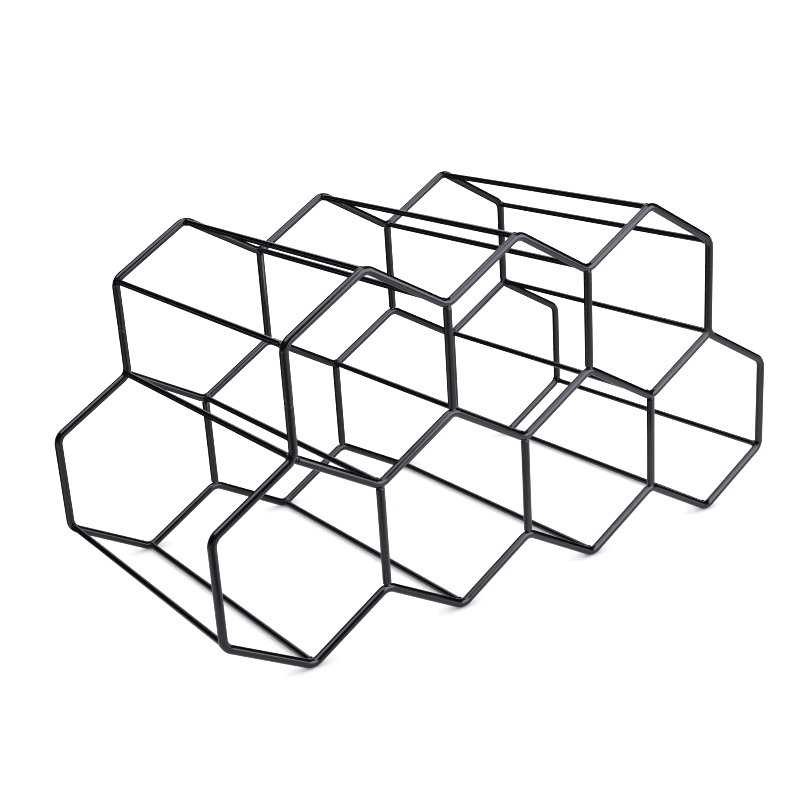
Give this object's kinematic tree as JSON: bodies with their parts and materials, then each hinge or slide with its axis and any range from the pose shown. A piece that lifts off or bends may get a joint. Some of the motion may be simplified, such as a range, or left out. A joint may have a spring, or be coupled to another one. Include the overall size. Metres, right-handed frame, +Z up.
{
  "type": "wine rack",
  "caption": "Free-standing wire wine rack with honeycomb cells in two nested rows, made of bent steel wire frames joined by cross rods.",
  "frame": {"origin": "on the surface the rack stands on, under the middle of its box", "axes": "+X along the rack, +Y from the front frame to the back frame, +Z up"},
  "size_m": [0.4048, 0.2028, 0.207],
  "materials": {
    "black_powder_coat": "satin black powder coat on steel wire"
  },
  "bodies": {
    "root": {"front_outer_wire": "black_powder_coat", "front_middle_wire": "black_powder_coat", "front_lower_divider_1": "black_powder_coat", "front_lower_divider_2": "black_powder_coat", "front_lower_divider_3": "black_powder_coat", "front_upper_divider_1": "black_powder_coat", "front_upper_divider_2": "black_powder_coat", "back_outer_wire": "black_powder_coat", "back_middle_wire": "black_powder_coat", "back_lower_divider_1": "black_powder_coat", "back_lower_divider_2": "black_powder_coat", "back_lower_divider_3": "black_powder_coat", "back_upper_divider_1": "black_powder_coat", "back_upper_divider_2": "black_powder_coat", "top_rod_1": "black_powder_coat", "top_rod_2": "black_powder_coat", "top_rod_3": "black_powder_coat", "top_rod_4": "black_powder_coat", "top_rod_5": "black_powder_coat", "top_rod_6": "black_powder_coat", "top_rod_7": "black_powder_coat", "middle_rod_1": "black_powder_coat", "middle_rod_2": "black_powder_coat", "middle_rod_3": "black_powder_coat", "middle_rod_4": "black_powder_coat", "middle_rod_5": "black_powder_coat", "bottom_rod_1": "black_powder_coat", "bottom_rod_2": "black_powder_coat", "bottom_rod_3": "black_powder_coat", "bottom_rod_4": "black_powder_coat", "bottom_rod_5": "black_powder_coat", "bottom_rod_6": "black_powder_coat"}
  },
  "joints": []
}
